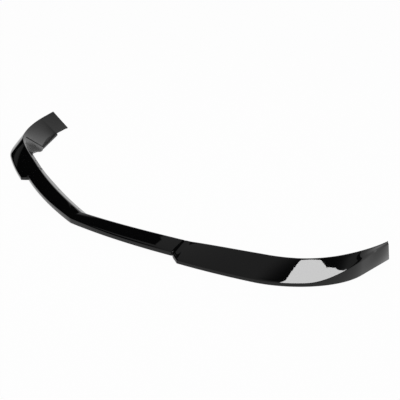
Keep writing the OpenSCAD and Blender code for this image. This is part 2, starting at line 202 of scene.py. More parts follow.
class LipSizes(bpy.types.PropertyGroup):
    """Sizes of the lip's lines and walls"""

    half_width: length("Half width", "Half width of the lip at its lower edge", 897.0)
    overall_depth: length("Depth", "From the nose to the rear end of the lower edge", 577.0)
    skin: length("Wall", "Wall of every moulded shell", 3.0)
    seam_x: length("Seam", "From the middle of the car to each seam", 427.0)
    nose_rake: number("Nose rake", "Rearward slope of the lower edge beside the nose", 0.09)
    front_bow: number("Front bow", "Extra sweep of the lower edge for each mm squared", 0.00028)
    nose_round: length("Nose rounding", "Radius that blunts the nose in plan", 6.0)
    seam_lift: length("Seam lift", "Lift of the lower edge at the seam over the nose", 7.0)
    nose_band: length("Nose band", "Height of the front band at the nose", 20.0)
    seam_band: length("Seam band", "Height of the front band at the seam", 15.0)
    nose_top_depth: length("Nose top depth", "Depth of the top face at the nose", 46.0)
    seam_top_depth: length("Seam top depth", "Depth of the top face at the seam", 51.0)
    nose_crest_z: length("Nose crest", "Height of the crest at the nose", 28.0)
    seam_crest_z: length("Seam crest", "Height of the crest at the seam", 46.0)
    flange_w: length("Flange", "Width of the rear flange in plan along the centre", 25.0)
    seam_flange_w: length("Seam flange", "Width of the rear flange at the seam", 18.0)
    flange_fall: number("Flange fall", "Fall of the rear flange for each mm of width", 0.7)
    jog_run: length("Step run", "Run of the step beside each seam, across the car", 38.0)
    jog_reach: length("Step reach", "How far that step reaches forward", 12.0)
    side_band: length("Side band", "Height of the side blade's front band", 13.0)
    corner_rise: length("Corner rise", "Further height of the band where it grows into the wall", 40.0)
    corner_crest_z: length("Corner crest", "Height of the crest where the corner starts", 66.0)
    shoulder_z: length("Shoulder", "Height of the crest where the corner ends", 82.0)
    tip_z: length("Tip height", "Height of the crest at the rear tip", 93.0)
    tip_out: length("Tip reach", "How far the rear tip stands outboard of the lower edge", 21.0)
    tip_ahead: length("Tip rake", "How far the rear tip stands ahead of the lower edge", 58.0)
    gusset_w: length("Gusset", "Further width of the rear flange at the corner", 64.0)
    ledge_z: length("Ledge height", "Height of the upper side of the ledge", 8.0)
    notch_back: length("Ledge end", "From the ledge's rear end to the rear end of the lower edge", 92.0)
    notch_w: length("Ledge corner", "Distance of the ledge's inner corner from the outer side", 58.0)
    panel_in: length("Panel foot", "Distance of the panel's foot from the outer side at the notch", 50.0)
    tail_in: length("Tail foot", "Distance of the panel's foot from the outer side at the tail", 10.0)
    rib_t: length("Rib", "Thickness of the stiffening ribs", 2.5)
    rib_lift: length("Rib clearance", "Clearance under the ribs", 3.0)
    tab_reach: length("Tab reach", "How far the joint tab reaches beyond the seam", 40.0)
    tab_root: length("Tab root", "Length of the tab's root inside the centre blade", 44.0)
    tab_z: length("Tab height", "Height of the tab's lower side", 14.0)
    screw_inset: length("Screw inset", "Distance of the joint screws from the seam", 20.0)
    boss_d: length("Boss", "Outer diameter of the screw bosses", 11.0)
    screw_d: length("Screw", "Diameter of the joint screws", 4.8)
    fit_gap: length("Fit", "Clearance at the joint", 0.2)
    flange_hole_d: length("Flange hole", "Diameter of the holes in the rear flange", 6.5)
    ledge_hole_d: length("Ledge hole", "Diameter of the holes in gussets and ledges", 8.0)


class LipFinish(bpy.types.PropertyGroup):
    """Colours and finish of the lip"""

    paint: colour("Gloss black", "Colour of the painted outer side", (0.003, 0.003, 0.0032))
    moulded: colour("Moulded black", "Colour of the bare under side", (0.010, 0.010, 0.0105))
    screw: colour("Zinc plate", "Colour of the joint screws", (0.45, 0.46, 0.48))
    floor: colour("Floor", "Colour of the studio floor", (0.86, 0.86, 0.86))


def ease(u):
    c = min(1.0, max(0.0, u))
    return c * c * (3.0 - 2.0 * c)


def mix(a, b, k):
    return a + (b - a) * k


def bezier(p, t):
    s = 1.0 - t
    return s ** 3 * p[0] + 3 * t * s * s * p[1] + 3 * t * t * s * p[2] + t ** 3 * p[3]


def up(z):
    return Vector((0.0, 0.0, z))


def reach(degrees, distance, climb=0.0):
    """A distance in plan at a heading from the X axis, with a climb"""
    a = math.radians(degrees)
    return distance * Vector((math.cos(a), math.sin(a), 0.0)) + up(climb)


def curve(start, out, back, end):
    """Control points of a curve with a handle at each end: heading, length and climb"""
    return (start, start + reach(*out), end - reach(*back), end)


class LipLines:
    """Lines of the lip in mm, laid out from the nose, with the right side blade at positive x. Its stages
    are -1 at the seam, 0 after the step, 1 and 2 at the start and end of the corner, and 3 at the tip"""

    PLAIN_NUMBERS = ("nose_rake", "front_bow", "flange_fall")
    # Centre blade: where the nose band has blended out, how the crest climbs, where the flange narrows
    BAND_BLEND_X = 250.0
    CREST_POWER = 1.7
    FLANGE_NARROW_FROM = 0.6
    # Corner start inboard of the half width and behind the run's start, length of the end wall
    CORNER_IN = 192.0
    RUN_BACK = 89.0
    WALL_LENGTH = 147.0
    # Crest against the lower edge at the corner's start and at its end
    CREST_CORNER = (-24.0, 57.0)
    CREST_SHOULDER = (-10.0, -4.0)
    # Curve handles, and the crest's run along the step: heading in degrees, length and climb in mm
    FOOT_RUN_OUT = (16.5, 80.0)
    FOOT_RUN_BACK = (24.0, 80.0)
    CORNER_OUT = (24.0, 100.0)
    CORNER_BACK = (90.0, 115.0)
    CREST_INSET = (16.5, 26.0, 1.0)
    CREST_RUN_OUT = (16.5, 76.0, 9.0)
    CREST_RUN_BACK = (24.0, 76.0, 2.0)
    CREST_BEND_OUT = (24.0, 110.0)
    CREST_BEND_BACK = (65.0, 110.0, 12.0)
    CREST_WALL_OUT = (65.0, 29.0, 2.5)
    CREST_WALL_BACK = (78.0, 29.0, 5.0)
    PANEL_OUT = (41.0, 43.0)
    PANEL_BACK = (95.0, 45.0)
    # Stages over which the band rises at the corner, and the power of its rise along the end wall
    BAND_RISE = 1.45
    BAND_RISE_SPAN = 0.56
    BAND_TAIL_POWER = 1.5
    # Stages over which the flange widens, and where the gusset, the gap at the fold and the ledge end
    GUSSET_START = 0.5
    GUSSET_SPAN = 0.7
    GUSSET_END = 1.33
    CUT_GAP = 0.002
    NOTCH = 2.1
    # Narrowing of the flange after the seam, height between the crease and the tip, and how far the crease
    # stands out there
    STEP_FLANGE_CUT = 2.0
    TIP_LIP = 13.0
    TAIL_CREASE_OUT = 3.0
    # Start of the panel's foot between the flange edge and the crest, and its depth in the ledge
    PANEL_START_SHARE = 0.12
    PANEL_SINK = 1.3
    # Half the stage between two points that give a line's heading
    AIM = 0.01

    def __init__(self, sizes):
        for name in LipSizes.__annotations__:
            value = getattr(sizes, name)
            setattr(self, name, value if name in self.PLAIN_NUMBERS else value / MM)
        self.seam_foot = self.centre_foot(self.seam_x)
        self.seam_crest = self.centre_crest(self.seam_x)
        self.run_start = self.seam_foot + Vector((self.jog_run, -self.jog_reach, -self.seam_lift))
        corner_start = Vector((self.half_width - self.CORNER_IN, self.run_start.y + self.RUN_BACK, 0.0))
        self.corner_end = Vector((self.half_width, self.overall_depth - self.WALL_LENGTH, 0.0))
        self.tail_foot = Vector((self.half_width, self.overall_depth, 0.0))
        self.foot_run = curve(self.run_start, self.FOOT_RUN_OUT, self.FOOT_RUN_BACK, corner_start)
        self.foot_corner = curve(corner_start, self.CORNER_OUT, self.CORNER_BACK, self.corner_end)
        self.crest_start = self.seam_crest + reach(*self.CREST_INSET)
        crest_corner = corner_start + Vector((*self.CREST_CORNER, self.corner_crest_z))
        shoulder = self.corner_end + Vector((*self.CREST_SHOULDER, self.shoulder_z))
        tip = self.tail_foot + Vector((self.tip_out, -self.tip_ahead, self.tip_z))
        self.crest_run = curve(self.crest_start, self.CREST_RUN_OUT, self.CREST_RUN_BACK, crest_corner)
        self.crest_bend = curve(crest_corner, self.CREST_BEND_OUT, self.CREST_BEND_BACK, shoulder)
        self.crest_wall = curve(shoulder, self.CREST_WALL_OUT, self.CREST_WALL_BACK, tip)
        low = self.ledge_z - self.PANEL_SINK
        self.gusset_corner = self.flange_edge(self.GUSSET_END)
        start = mix(self.gusset_corner, self.crest(self.GUSSET_END), self.PANEL_START_SHARE)
        start.z = low
        rear = self.overall_depth
        self.panel_corner = Vector((self.half_width - self.panel_in, rear - self.notch_back, low))
        self.panel_tail = Vector((self.half_width - self.tail_in, rear - self.skin, low))
        self.panel_curve = curve(start, self.PANEL_OUT, self.PANEL_BACK, self.panel_corner)

    def foot_y(self, x):
        blunt = math.sqrt(x * x + self.nose_round ** 2) - self.nose_round
        return self.nose_rake * blunt + self.front_bow * x * x

    def share(self, x):
        return min(1.0, abs(x) / self.seam_x)

    def centre_foot(self, x):
        return Vector((x, self.foot_y(x), self.seam_lift * (1.0 - (1.0 - self.share(x)) ** 2)))

    def centre_crest(self, x):
        depth = mix(self.nose_top_depth, self.seam_top_depth, self.share(x))
        climb = (self.seam_crest_z - self.nose_crest_z) * (1.0 - self.share(x)) ** self.CREST_POWER
        return Vector((x, self.foot_y(x) + depth, self.seam_crest_z - climb))

    def centre(self, x):
        """Lower edge, crease, crest and flange edge of the centre blade at x, and its heading"""
        foot, crest = self.centre_foot(x), self.centre_crest(x)
        band = mix(self.nose_band, self.seam_band, ease(abs(x) / self.BAND_BLEND_X))
        narrow = (self.share(x) - self.FLANGE_NARROW_FROM) / (1.0 - self.FLANGE_NARROW_FROM)
        w = mix(self.flange_w, self.seam_flange_w, ease(narrow))
        along = Vector((1.0, (self.foot_y(x + 1.0) - self.foot_y(x - 1.0)) / 2.0, 0.0)).normalized()
        return [foot, foot + up(band), crest, crest + Vector((0.0, w, -self.flange_fall * w))], along

    def foot(self, t):
        if t < 0.0:
            return mix(self.seam_foot, self.run_start, 1.0 + t)
        if t < 1.0:
            return bezier(self.foot_run, t)
        if t < 2.0:
            return bezier(self.foot_corner, t - 1.0)
        return mix(self.corner_end, self.tail_foot, t - 2.0)

    def crest(self, t):
        if t < 0.0:
            return mix(self.seam_crest, self.crest_start, 1.0 + t)
        if t < 1.0:
            return bezier(self.crest_run, t)
        if t < 2.0:
            return bezier(self.crest_bend, t - 1.0)
        return bezier(self.crest_wall, t - 2.0)

    def band(self, t):
        wall = self.tip_z - self.TIP_LIP - self.side_band - self.corner_rise
        start = mix(self.seam_band, self.side_band, ease(t + 1.0))
        rise = self.corner_rise * ease((t - self.BAND_RISE) / self.BAND_RISE_SPAN)
        return start + rise + wall * max(0.0, t - 2.0) ** self.BAND_TAIL_POWER

    def crease(self, t):
        foot, crest, h = self.foot(t), self.crest(t), self.band(t)
        lean = ease(t - 2.0) * h / crest.z
        line = Vector((mix(foot.x, crest.x, lean), mix(foot.y, crest.y, lean), foot.z + h))
        return line - self.TAIL_CREASE_OUT * ease(t - 2.0) * self.inward(t)

    def inward(self, t):
        """Unit vector in plan at right angles to the crest, toward the car"""
        d = self.crest(min(3.0, t + self.AIM)) - self.crest(max(-1.0, t - self.AIM))
        return Vector((-d.y, d.x, 0.0)).normalized()

    def flange_edge(self, t):
        """Edge of the rear flange and the gusset"""
        inner = self.inward(t)
        if t < 0.0:
            inner = mix(Vector((0.0, 1.0, 0.0)), inner, t + 1.0).normalized()
        gusset = self.gusset_w * ease((t - self.GUSSET_START) / self.GUSSET_SPAN)
        w = self.seam_flange_w + gusset - self.STEP_FLANGE_CUT * ease(t + 1.0)
        return self.crest(t) + w * inner - up(self.flange_fall * w)

    def panel_foot(self, t):
        """Foot of the inner panel behind the gusset's fold"""
        if t < self.NOTCH:
            return bezier(self.panel_curve, (t - self.GUSSET_END) / (self.NOTCH - self.GUSSET_END))
        return mix(self.panel_corner, self.panel_tail, (t - self.NOTCH) / (3.0 - self.NOTCH))

    def side(self, t):
        """Lower edge, crease, crest and inner edge of the right side blade at a stage, and its heading"""
        inner = self.panel_foot(t) if t > self.GUSSET_END else self.flange_edge(t)
        a, b = min(3.0, t + self.AIM), max(-1.0, t - self.AIM)
        along = (self.foot(a) + self.crest(a) - self.foot(b) - self.crest(b)).normalized()
        return [self.foot(t), self.crease(t), self.crest(t), inner], along

    def screw_stage(self):
        return self.screw_inset / self.jog_run - 1.0

    def screw_places(self):
        crease, crest = self.crease(self.screw_stage()), self.crest(self.screw_stage())
        x = self.seam_x + self.screw_inset
        return [Vector((x, mix(crease.y, crest.y, k), 0.0)) for k in SCREW_SHARES]


def face_normals(lines, along):
    return [along.cross(lines[i + 1] - lines[i]).normalized() for i in range(3)]


def sunk(lines, along, depth):
    """The four lines moved into the wall, mitred where faces meet"""
    n = face_normals(lines, along)
    side = [n[0], (n[0] + n[1]) / (1.0 + n[0].dot(n[1])), (n[1] + n[2]) / (1.0 + n[1].dot(n[2])), n[2]]
    return [lines[i] - depth * side[i] for i in range(4)]


def bend(a, v, b, r):
    """Points of a rounded corner at v between a and b"""
    p = v + (a - v).normalized() * min(r, (a - v).length * ROUND_SHARE)
    q = v + (b - v).normalized() * min(r, (b - v).length * ROUND_SHARE)
    return curve_through(p, v, q, EDGE_STEPS)


def curve_through(p, v, q, steps):
    points = []
    for i in range(steps + 1):
        k = i / steps
        points.append(mix(mix(p, v, k), mix(v, q, k), k))
    return points


def hollow(lines, along, skin):
    """Lines of the moulded side, which fill up where the end wall and the inner panel close to a wedge"""
    inside = sunk(lines, along, skin)
    if inside[2].z - inside[1].z > WEDGE_LIMIT * skin:
        return inside
    base = (lines[0] - lines[3]).to_2d().length
    roof = mix(lines[2], (lines[0] + lines[3]) / 2.0, min(WEDGE_HEIGHT, WEDGE_WALLS * skin / base))
    return [inside[0], mix(inside[0], roof, WEDGE_FACE), roof, inside[3]]


def shell_section(lines, along, inside, sag=0.0, groove=0.0):
    """Closed section of a shell, painted side first. Returns the points and the places in them where the
    flange and the moulded side begin. The sag hollows the top face, and the groove sinks the flange"""
    foot, crease, crest, edge = lines
    normals = face_normals(lines, along)
    span = (crest - crease).length
    band_r = min(BAND_ROUND, (foot - crease).length * BAND_ROUND_SHARE, span * ROUND_SHARE)
    crest_r = min(CREST_ROUND, span * ROUND_SHARE, (edge - crest).length * ROUND_SHARE)
    crown = CROWN * min(1.0, span / CROWN_FULL)

    def top(k):
        lift = crown * CROWN_PEAK * k * (1.0 - k) - sag * SAG_PEAK * k * (1.0 - k) ** 2
        return mix(crease, crest, k) + normals[1] * lift

    def sunk_flange(points, first_share, last_share):
        count = len(points)
        shares = [mix(first_share, last_share, i / (count - 1)) for i in range(count)]
        return [p - normals[2] * groove * ease(GROOVE_GROWS * k) for p, k in zip(points, shares)]

    first, last = band_r / span, 1.0 - crest_r / span
    band_start = crease + (foot - crease).normalized() * band_r * BAND_SHARE
    flange_start = crest + (edge - crest).normalized() * crest_r
    points = bend(inside[0], foot, crease, EDGE_ROUND)
    points += [mix(foot, crease, 0.5)]
    points += curve_through(band_start, crease, top(first), ROUND_STEPS)
    points += [top(mix(first, last, i / TOP_STEPS)) for i in range(1, TOP_STEPS)]
    points += curve_through(top(last), crest, flange_start, ROUND_STEPS)
    flange_end = bend(crest, edge, inside[3], EDGE_ROUND)
    flange_first = len(points)
    flange = [mix(flange_start, flange_end[0], i / FLANGE_STEPS) for i in range(1, FLANGE_STEPS)]
    points += sunk_flange(flange, 0.0, 1.0)
    points += sunk_flange(flange_end, 1.0, 1.0)
    split = len(points)
    points += bend(edge, inside[3], inside[2], EDGE_ROUND)
    points += bend(inside[3], inside[2], inside[1], INNER_ROUND)
    points += [mix(inside[2], inside[1], i / INNER_STEPS) for i in range(1, INNER_STEPS)]
    points += bend(inside[2], inside[1], inside[0], INNER_ROUND)
    points += bend(inside[1], inside[0], foot, EDGE_ROUND)
    return points, flange_first, split


def seam_sink(distance, depth, run):
    """Depth in mm to which the painted side rolls down at a distance from its seam"""
    return depth * max(0.0, 1.0 - distance / run) ** ROLL_POWER


def fold_sink(past):
    """Depth in mm of the groove before the fold, less than zero where the panel stands proud past it"""
    if past > 0.0:
        return -PANEL_STEP * max(0.0, 1.0 - past / PANEL_RUN) ** 2
    return FOLD_STEP if past > -FOLD_RUN else 0.0


def placed(lines, p, mirror):
    """A point from the layout at the nose in metres about the middle of the plan"""
    return Vector((-p.x if mirror else p.x, p.y - lines.overall_depth / 2.0, p.z)) * MM


def linked(data):
    """A new object in the scene, named as its data"""
    made = bpy.data.objects.new(data.name, data)
    bpy.context.scene.collection.objects.link(made)
    return made


def new_piece(data, nodes, finishes):
    piece = linked(data)
    for finish in finishes:
        data.materials.append(finish)
    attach(piece, ROOT)
    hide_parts(*nodes)
    return piece


def flat_mesh(name, bm):
    data = bpy.data.meshes.new(name)
    bm.to_mesh(data)
    bm.free()
    return data


def smooth_mesh(name, bm, sharp_degrees):
    bmesh.ops.recalc_face_normals(bm, faces=bm.faces)
    data = flat_mesh(name, bm)
    data.shade_smooth()
    data.set_sharp_from_angle(angle=math.radians(sharp_degrees))
    return data


def lofted(name, lines, sections, split, mirror, satin=None):
    """Mesh through closed sections. Satin gives the section and the point from which the flange is satin,
    and the first and last section of its groove, whose faces get a dull black as painted shade"""
    bm = bmesh.new()
    rows = [[bm.verts.new(placed(lines, p, mirror)) for p in section] for section in sections]
    count = len(rows[0])
    for i, (a, b) in enumerate(zip(rows, rows[1:])):
        for j in range(count):
            k = (j + 1) % count
            face = bm.faces.new((a[j], a[k], b[k], b[j]))
            face.material_index = GLOSS if j < split - 1 else BARE
            if satin and i >= satin[0] and satin[1] <= j < split - 1:
                # Faces of the groove get the dull black that paints the fold's shade
                face.material_index = PAINTED_SHADE if satin[2] <= i <= satin[3] else SATIN
    for row in (rows[0], rows[-1]):
        cap = bm.faces.new(row)
        bmesh.ops.triangulate(bm, faces=[cap])
    return smooth_mesh(name, bm, SHELL_SHARP)


def joined(bm, lines, near, far, mirror):
    """Closed body between two outlines with as many points"""
    near, far = ([bm.verts.new(placed(lines, p, mirror)) for p in outline] for outline in (near, far))
    bm.faces.new(near)
    bm.faces.new(list(reversed(far)))
    for i in range(len(near)):
        j = (i + 1) % len(near)
        bm.faces.new((near[i], far[i], far[j], near[j]))


def prism(bm, lines, outline, low, high, mirror):
    """Straight prism on an outline in plan between two heights"""
    top, bottom = ([Vector((x, y, z)) for x, y in outline] for z in (high, low))
    joined(bm, lines, top, bottom, mirror)


def drill(piece, spots, lines, mirror):
    """Cuts round holes: each spot is a place, an axis, a diameter and a length in mm"""
    bm = bmesh.new()
    for place, axis, diameter, run in spots:
        way = Vector((-axis.x, axis.y, axis.z)) if mirror else axis
        turn = way.to_track_quat("Z", "Y").to_matrix().to_4x4()
        turn.translation = placed(lines, place, mirror)
        radius = diameter / 2 * MM
        shaft = bmesh.ops.create_cone(
            bm, cap_ends=True, segments=HOLE_SIDES, radius1=radius, radius2=radius, depth=run * MM
        )
        bmesh.ops.transform(bm, matrix=turn, verts=shaft["verts"])
    cutter = linked(flat_mesh("drill", bm))
    cut = piece.modifiers.new("holes", "BOOLEAN")
    cut.operation = "DIFFERENCE"
    cut.solver = "EXACT"
    cut.object = cutter
    bpy.context.view_layer.update()
    graph = bpy.context.evaluated_depsgraph_get()
    solid, shafts = piece.data, cutter.data
    result = bpy.data.meshes.new_from_object(piece.evaluated_get(graph))
    piece.modifiers.remove(cut)
    piece.data = result
    bpy.data.objects.remove(cutter)
    bpy.data.meshes.remove(solid)
    bpy.data.meshes.remove(shafts)
    result.set_sharp_from_angle(angle=math.radians(SHELL_SHARP))


def node(tree, kind, **values):
    made = tree.nodes.new(kind)
    for name, value in values.items():
        setattr(made, name, value)
    return made


def combined(tree, operation, *values):
    """One value from a socket and further sockets or numbers, by a math operation on one after the other"""
    total = values[0]
    for value in values[1:]:
        step = node(tree, "ShaderNodeMath", operation=operation)
        tree.links.new(total, step.inputs[0])
        if isinstance(value, float):
            step.inputs[1].default_value = value
        else:
            tree.links.new(value, step.inputs[1])
        total = step.outputs["Value"]
    return total


def noise(tree, place, scale, detail):
    made = node(tree, "ShaderNodeTexNoise")
    made.inputs["Scale"].default_value = scale
    made.inputs["Detail"].default_value = detail
    tree.links.new(place.outputs["Object"], made.inputs["Vector"])
    return made.outputs["Fac"]


def mottled(name, base, shades, rough, clouds, grain=None, **settings):
    """Finish whose tone and roughness vary in clouds. Shades are shares of the base colour, clouds a scale
    and a detail, grain a scale, a detail, a strength and a distance in m, and settings the shader's own"""
    material = bpy.data.materials.get(name)
    if material:
        return material
    material = bpy.data.materials.new(name)
    material.use_nodes = True
    tree = material.node_tree
    link = tree.links.new
    shader = tree.nodes["Principled BSDF"]
    for socket, value in settings.items():
        shader.inputs[socket.replace("_", " ")].default_value = value
    place = node(tree, "ShaderNodeTexCoord")
    cloud = noise(tree, place, *clouds)
    ramp = node(tree, "ShaderNodeValToRGB")
    for stop, shade in zip(ramp.color_ramp.elements, shades):
        stop.color = tuple(shade * c for c in base) + (1.0,)
    link(cloud, ramp.inputs["Fac"])
    link(ramp.outputs["Color"], shader.inputs["Base Color"])
    dull = node(tree, "ShaderNodeMapRange")
    dull.inputs["To Min"].default_value, dull.inputs["To Max"].default_value = rough
    link(cloud, dull.inputs["Value"])
    link(dull.outputs["Result"], shader.inputs["Roughness"])
    if grain:
        scale, detail, strength, distance = grain
        bump = node(tree, "ShaderNodeBump")
        bump.inputs["Strength"].default_value = strength
        bump.inputs["Distance"].default_value = distance
        link(noise(tree, place, scale, detail), bump.inputs["Height"])
        link(bump.outputs["Normal"], shader.inputs["Normal"])
    return material


def black_paint(finish, name, rough):
    """Black paint with a faint orange peel"""
    return mottled(
        name, finish.paint,
        shades=(0.8, 1.3), rough=rough, clouds=(6.0, 3.0), grain=(170.0, 1.0, 0.05, 0.0004), IOR=1.37,
    )


def gloss_paint(finish):
    """Paint of the outer side"""
    return black_paint(finish, "gloss_black_paint", rough=(0.02, 0.05))


def satin_paint(finish):
    """Thin paint of the side blades' inner face, less glossy than the outer one"""
    return black_paint(finish, "satin_black_paint", rough=(0.16, 0.2))


def bare_moulding(finish):
    """Bare black moulding of the under side, satin with a fine grain"""
    return mottled(
        "bare_black_moulding", finish.moulded,
        shades=(0.8, 1.25), rough=(0.2, 0.32), clouds=(14.0, 2.0), grain=(900.0, 2.0, 0.12, 0.0002),
    )


def painted_shade_groove(finish):
    """Dull black without reflection in the groove at the fold, painted shade that draws the shadow line
    there
    """
    return mottled(
        "matt_black_groove", finish.moulded,
        shades=(0.5, 1.0), rough=(1.0, 1.0), clouds=(60.0, 2.0), Specular_IOR_Level=0.0,
    )


def zinc_plate(finish):
    """Zinc-plated steel of the joint screws"""
    return mottled(
        "zinc_plated_steel", finish.screw,
        shades=(0.8, 1.1), rough=(0.25, 0.4), clouds=(300.0, 2.0), Metallic=1.0,
    )


def lip_settings(context):
    return LipLines(context.scene.lip_sizes), context.scene.lip_finish


def centre_stations(lines):
    """Places across the centre blade, closer together at the nose and toward the seams"""
    half = lines.seam_x - lines.fit_gap / 2.0
    xs = []
    for i in range(CENTRE_STEPS):
        k = i / CENTRE_STEPS
        xs.append((half - SEAM_STEPS[-1]) * (CENTRE_EVEN * k + (1.0 - CENTRE_EVEN) * k * k))
    xs += [half - step for step in reversed(SEAM_STEPS)]
    return [-x for x in reversed(xs[1:])] + xs


def side_stations(lines):
    """Stages of a side blade's sections, closer together at the seam and at the fold"""
    end = lines.GUSSET_END
    spans = ((-1.0, 0.0), (0.0, 1.0), (1.0, end), (end + lines.CUT_GAP, 2.0), (2.0, 3.0))
    stages = [step / lines.jog_run - 1.0 for step in SEAM_STEPS]
    stages += [end - FOLD_RUN * share for share in GROOVE_WALL]
    for (a, b), count in zip(spans, SIDE_STEPS):
        stages += [mix(a, b, i / count) for i in range(count + 1)]
    return sorted(set(stages))


def rib_body(bm, lines, row, along, low_front, low_back, mirror):
    """Web under the shell whose upper edges end inside the wall"""
    edge = sunk(row, along, lines.skin / 2.0)
    outline = [
        Vector((edge[0].x, edge[0].y, low_front)),
        edge[1],
        edge[2],
        edge[3],
        Vector((edge[3].x, edge[3].y, min(low_back, edge[3].z - RIB_END))),
    ]
    shift = along * lines.rib_t / 2.0
    joined(bm, lines, [p - shift for p in outline], [p + shift for p in outline], mirror)


def flange_spot(lines, row, along, share, diameter):
    """Hole square through the flange at a share of its width"""
    n = face_normals(row, along)[2]
    return (mix(row[2], row[3], share), n, diameter, FLANGE_CUT * lines.skin)


class LIP_OT_centre_shell(bpy.types.Operator):
    """Build the centre blade's shell with its nose, band, top face, crest and flange"""

    bl_idname = "lip.centre_shell"
    bl_label = "Centre Shell"

    def execute(self, context):
        lines, finish = lip_settings(context)
        half = lines.seam_x - lines.fit_gap / 2.0
        sections = []
        for x in centre_stations(lines):
            row, along = lines.centre(x)
            if abs(x) > lines.seam_x - lines.fit_gap:
                along = ACROSS
            inside = sunk(row, along, lines.skin)
            rolled = sunk(row, along, seam_sink(half - abs(x), *CENTRE_ROLL))
            points, _, split = shell_section(rolled, along, inside)
            sections.append(points)
        data = lofted("centre_shell", lines, sections, split, False)
        finishes = [gloss_paint(finish), bare_moulding(finish)]
        piece = new_piece(data, ["centre_lip"], finishes)
        spots = []
        for side in (-1.0, 1.0):
            for bay in HOLE_BAYS:
                x = side * bay * RIB_PITCH * lines.seam_x
                spots.append(flange_spot(lines, *lines.centre(x), FLANGE_HOLE_SHARE, lines.flange_hole_d))
        drill(piece, spots, lines, False)
        return {"FINISHED"}


class LIP_OT_centre_webs(bpy.types.Operator):
    """Build the ribs and the joint tabs under the centre blade"""

    bl_idname = "lip.centre_webs"
    bl_label = "Centre Ribs and Tabs"

    def execute(self, context):
        lines, finish = lip_settings(context)
        moulding = bare_moulding(finish)
        bm = bmesh.new()
        for i in range(-CENTRE_RIBS, CENTRE_RIBS + 1):
            x = i * RIB_PITCH * lines.seam_x
            row, along = lines.centre(x)
            rib_body(bm, lines, row, along, row[0].z + lines.rib_lift, row[2].z, False)
        data = smooth_mesh("centre_ribs", bm, WEB_SHARP)
        new_piece(data, ["centre_lip"], [moulding])
        hole = lines.screw_d + 2.0 * lines.fit_gap
        middle = up(lines.tab_z + lines.skin / 2.0)
        spots = [(p + middle, up(1.0), hole, TAB_CUT * lines.skin) for p in lines.screw_places()]
        for name, mirror in SIDES:
            data = smooth_mesh("joint_tab_" + name, self.tab(lines, mirror), WEB_SHARP)
            tab = new_piece(data, ["centre_lip"], [moulding])
            drill(tab, spots, lines, mirror)
        return {"FINISHED"}

    def tab(self, lines, mirror):
        """Plate under the end of the centre blade, carried by two ribs"""
        places = lines.screw_places()
        front = places[0].y - lines.boss_d
        back = places[1].y + TAB_MARGIN * lines.boss_d
        root = lines.seam_x - lines.tab_root
        inner = lines.seam_x - TAB_FITS * lines.fit_gap
        tip = lines.seam_x + lines.tab_reach
        outline = [
            (root, lines.foot_y(root) + lines.skin / 2.0),
            (inner, lines.foot_y(inner) + lines.skin / 2.0),
            (inner, front),
            (tip, front),
            (tip, back),
            (root, back),
        ]
        bm = bmesh.new()
        prism(bm, lines, outline, lines.tab_z, lines.tab_z + lines.skin, mirror)
        low = lines.tab_z + lines.skin / 2.0
        for x in (root + lines.rib_t, lines.seam_x - SEAM_RIB * lines.rib_t):
            rib_body(bm, lines, *lines.centre(x), low, low, mirror)
        return bm


class LIP_OT_side_shells(bpy.types.Operator):
    """Build the two side blades' shells with step, corner, end wall, gusset and inner panel"""

    bl_idname = "lip.side_shells"
    bl_label = "Side Shells"

    def execute(self, context):
        lines, finish = lip_settings(context)
        stations = side_stations(lines)
        sections = []
        shift = Vector((lines.fit_gap / 2.0, 0.0, 0.0))
        for t in stations:
            row, along = lines.side(t)
            if t == -1.0:
                along = ACROSS
            inside = (hollow if t > lines.GUSSET_END else sunk)(row, along, lines.skin)
            rolled = sunk(row, along, seam_sink((t + 1.0) * lines.jog_run, *SIDE_ROLL))
            sag = SAG * ease((t - SAG_START) / SAG_SPAN)
            groove = fold_sink(t - lines.GUSSET_END)
            points, flange_first, split = shell_section(rolled, along, inside, sag, groove)
            sections.append([p + shift for p in points])
        inner = sum(t < SATIN_START for t in stations)
        # Sections at the ends of the groove, whose faces are painted dull black as shade
        step = [sum(t <= lines.GUSSET_END - back for t in stations) - 1 for back in (FOLD_RUN, 0.0)]
        # The last finish is the painted shade of the fold's groove
        finishes = [gloss_paint(finish), bare_moulding(finish), satin_paint(finish), painted_shade_groove(finish)]
        spots = []
        for t, share, diameter in (
            (RUN_HOLE_STAGE, FLANGE_HOLE_SHARE, lines.flange_hole_d),
            (GUSSET_HOLE_STAGE, GUSSET_HOLE_SHARE, lines.ledge_hole_d),
        ):
            spots.append(flange_spot(lines, *lines.side(t), share, diameter))
        for name, mirror in SIDES:
            satin = (inner, flange_first, *step)
            data = lofted("side_shell_" + name, lines, sections, split, mirror, satin)
            piece = new_piece(data, [name + "_side_lip"], finishes)
            drill(piece, spots, lines, mirror)
        return {"FINISHED"}


